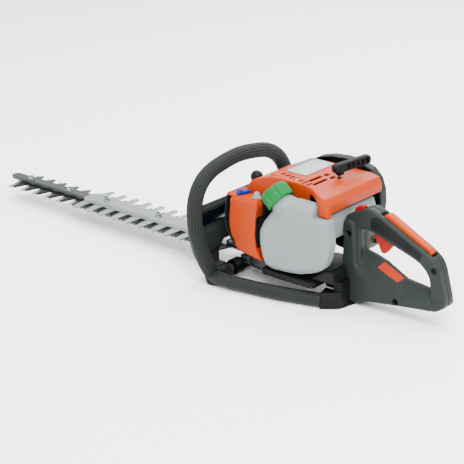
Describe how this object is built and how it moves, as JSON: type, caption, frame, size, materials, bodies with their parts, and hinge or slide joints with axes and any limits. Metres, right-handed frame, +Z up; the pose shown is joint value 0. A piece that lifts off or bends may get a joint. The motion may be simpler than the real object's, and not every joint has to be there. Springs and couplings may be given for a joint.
{
  "type": "petrol hedge trimmer",
  "caption": "Double-sided petrol hedge trimmer: reciprocating toothed bar, vertical two-stroke engine, wrap-round front loop handle and rear trigger handle.",
  "frame": {"origin": "on the ground under the middle of the bounding box", "axes": "+X towards the blade tip, +Y to the operator's left, +Z up"},
  "size_m": [1.09, 0.3036, 0.2465],
  "materials": {
    "orange_plastic": "satin",
    "dark_plastic": "textured",
    "black_plastic": "satin",
    "grip_rubber": "matte, ribbed",
    "blade_steel": "ground",
    "dark_steel": "machined",
    "bar_metal": "satin",
    "cast_metal": "as cast",
    "cast_alloy": "as cast",
    "tank_plastic": "translucent, smooth",
    "green_plastic": "satin",
    "red_plastic": "satin",
    "blue_plastic": "satin",
    "grey_plastic": "soft",
    "label_foil": "smooth",
    "filter_foam": "open foam",
    "ceramic": "glazed",
    "sheet_metal": "heat stained",
    "spring_steel": "black",
    "rope": "braided"
  },
  "bodies": {
    "machine": {"guide_bar": "bar_metal", "comb_guard": "bar_metal", "blade_bolt_1": "dark_steel", "blade_bolt_2": "dark_steel", "blade_bolt_3": "dark_steel", "blade_bolt_4": "dark_steel", "blade_nut_1": "dark_steel", "blade_nut_2": "dark_steel", "blade_nut_3": "dark_steel", "blade_nut_4": "dark_steel", "gearbox_housing": "cast_alloy", "gearbox_cover": "cast_alloy", "crankcase": "cast_alloy", "cylinder": "cast_alloy", "spark_plug": "ceramic", "spark_plug_cap": "black_plastic", "muffler": "sheet_metal", "carburettor": "cast_alloy", "starter_housing": "orange_plastic", "recoil_spring": "spring_steel", "label_plate": "label_foil", "cylinder_cover": "dark_plastic", "air_filter_housing": "dark_plastic", "air_filter": "filter_foam", "air_filter_cover": "orange_plastic", "fuel_tank": "tank_plastic", "engine_base": "black_plastic", "front_handle": "grip_rubber", "front_bracket": "dark_plastic", "hand_guard": "dark_plastic", "left_rail": "dark_plastic", "right_rail": "dark_plastic", "rear_bracket": "black_plastic", "front_spring_left": "spring_steel", "front_spring_right": "spring_steel", "rear_spring_left": "spring_steel", "rear_spring_right": "spring_steel", "rear_handle_left": "black_plastic", "rear_handle_right": "black_plastic"},
    "upper_cutter": {"upper_blade": "blade_steel"},
    "lower_cutter": {"lower_blade": "blade_steel"},
    "gear": {"drive_gear": "dark_steel", "eccentric_shaft": "dark_steel"},
    "drum": {"clutch_drum": "dark_steel"},
    "crank": {"crankshaft_lower": "dark_steel", "crankshaft_upper": "dark_steel", "flywheel": "cast_alloy", "clutch_shoes": "cast_metal"},
    "piston": {"piston": "cast_alloy", "connecting_rod": "dark_steel"},
    "pulley": {"starter_pulley": "black_plastic"},
    "starter_pull": {"starter_handle": "black_plastic", "starter_rope": "rope"},
    "choke": {"choke_lever": "blue_plastic"},
    "primer": {"primer_bulb": "grey_plastic"},
    "filter_knob": {"cover_knob": "black_plastic"},
    "tank_cap": {"fuel_cap": "green_plastic"},
    "trigger": {"throttle_trigger": "red_plastic"},
    "lockout": {"lockout_lever": "orange_plastic"},
    "stop": {"stop_switch": "red_plastic"}
  },
  "joints": [
    {"name": "upper_blade_slide", "type": "slide", "parent": "machine", "child": "upper_cutter", "axis": [1, 0, 0], "range_m": [-0.002, 0.0155]},
    {"name": "lower_blade_slide", "type": "slide", "parent": "machine", "child": "lower_cutter", "axis": [1, 0, 0], "range_m": [-0.0155, 0.002]},
    {"name": "gear_spin", "type": "hinge", "parent": "machine", "child": "gear", "pos_m": [-0.179, 0, 0.045], "axis": [0, 0, 1], "continuous": true},
    {"name": "drum_spin", "type": "hinge", "parent": "machine", "child": "drum", "pos_m": [-0.225, 0, 0.05], "axis": [0, 0, 1], "continuous": true},
    {"name": "crank_spin", "type": "hinge", "parent": "machine", "child": "crank", "pos_m": [-0.225, 0, 0.104], "axis": [0, 0, 1], "continuous": true},
    {"name": "piston_slide", "type": "slide", "parent": "machine", "child": "piston", "axis": [0, 1, 0], "range_m": [0, 0.026]},
    {"name": "starter_pull_slide", "type": "slide", "parent": "machine", "child": "starter_pull", "axis": [0, 0, 1], "range_m": [0, 0.7], "stiffness_N_per_m": 8, "springref_m": -0.3, "deforming": ["starter_rope"]},
    {"name": "pulley_spin", "type": "hinge", "parent": "machine", "child": "pulley", "pos_m": [-0.225, 0, 0.18], "axis": [0, 0, 1], "range_deg": [0, 1500]},
    {"name": "choke_turn", "type": "hinge", "parent": "machine", "child": "choke", "pos_m": [-0.133, 0.066, 0.174], "axis": [0, 0, 1], "range_deg": [0, 55]},
    {"name": "primer_press", "type": "slide", "parent": "machine", "child": "primer", "axis": [0, 0, -1], "range_m": [0, 0.004], "stiffness_N_per_m": 400, "deforming": ["primer_bulb"]},
    {"name": "filter_knob_turn", "type": "hinge", "parent": "machine", "child": "filter_knob", "pos_m": [-0.12, 0, 0.18], "axis": [0, 0, 1], "range_deg": [0, 720]},
    {"name": "tank_cap_turn", "type": "hinge", "parent": "machine", "child": "tank_cap", "pos_m": [-0.236, 0.07, 0.179], "axis": [0.76, 0, 0.6499], "range_deg": [0, 540]},
    {"name": "throttle_trigger_pull", "type": "hinge", "parent": "machine", "child": "trigger", "pos_m": [-0.393, 0, 0.153], "axis": [0, 1, 0], "range_deg": [0, 16], "stiffness_Nm_per_rad": 0.5, "springref_deg": -8.59},
    {"name": "lockout_press", "type": "hinge", "parent": "machine", "child": "lockout", "pos_m": [-0.5, 0, 0.132], "axis": [0, 1, 0], "range_deg": [0, 3], "stiffness_Nm_per_rad": 4, "springref_deg": -1.15},
    {"name": "stop_press", "type": "slide", "parent": "machine", "child": "stop", "axis": [0, 0, -1], "range_m": [0, 0.0015], "stiffness_N_per_m": 800}
  ],
  "couplings": [
    {"joint": "lower_blade_slide", "follows": "upper_blade_slide", "ratio": -1},
    {"joint": "drum_spin", "follows": "gear_spin", "ratio": -3.6},
    {"joint": "pulley_spin", "follows": "starter_pull_slide", "rad_per_m": 35.714}
  ]
}
